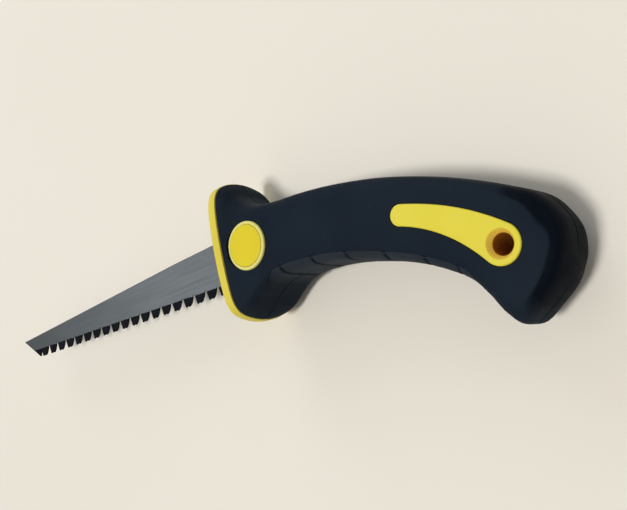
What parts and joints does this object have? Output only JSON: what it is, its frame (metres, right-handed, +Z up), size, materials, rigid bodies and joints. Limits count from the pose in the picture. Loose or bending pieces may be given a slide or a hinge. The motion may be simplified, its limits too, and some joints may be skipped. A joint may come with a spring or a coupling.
{
  "type": "drywall saw",
  "caption": "Jab saw for plasterboard with a tapered block-tooth blade, a yellow guard plate, a dark curved grip, a push button that frees the blade, and a hanging hole.",
  "frame": {"origin": "on the supporting surface, under the middle of the box around the saw as it lies on its side", "axes": "+X from the blade's tip to the butt, +Y from the teeth towards the spine, +Z up, towards the button"},
  "size_m": [0.3024, 0.086, 0.0363],
  "materials": {
    "blade_steel": "grey sheet steel with hardened dark teeth",
    "yellow_plastic": "satin moulded",
    "yellow_inlay": "satin moulded",
    "yellow_button": "satin moulded",
    "yellow_bezel": "satin moulded",
    "hole_lining": "satin moulded",
    "dark_shell": "fine grained hard plastic",
    "soft_grip": "matte soft-touch",
    "grey_yoke": "plain moulded",
    "liner_steel": "pressed sheet",
    "guide_steel": "pressed sheet",
    "spring_steel": "blued sheet",
    "peg_steel": "turned",
    "screw_steel": "zinc plated"
  },
  "bodies": {
    "handle": {"face_plate": "yellow_plastic", "slot_liner": "liner_steel", "upper_shell": "dark_shell", "lower_shell": "dark_shell", "upper_grip": "soft_grip", "lower_grip": "soft_grip", "upper_inlay": "yellow_inlay", "lower_inlay": "yellow_inlay", "hang_sleeve": "hole_lining", "button_bezel": "yellow_bezel", "blade_guide": "guide_steel", "latch_spring": "spring_steel", "latch_peg": "peg_steel", "latch_screws": "screw_steel", "handle_screws": "screw_steel"},
    "blade": {"blade": "blade_steel"},
    "button": {"button_cap": "yellow_button", "button_yoke": "grey_yoke"}
  },
  "joints": [
    {"name": "button_press", "type": "slide", "parent": "handle", "child": "button", "axis": [0, 0, -1], "range_m": [0, 0.0025], "stiffness_N_per_m": 1000, "springref_m": -0.003, "deforming": ["latch_spring", "latch_peg"]},
    {"name": "blade_slide", "type": "slide", "parent": "handle", "child": "blade", "axis": [-1, 0, 0], "range_m": [0, 0.045]}
  ]
}
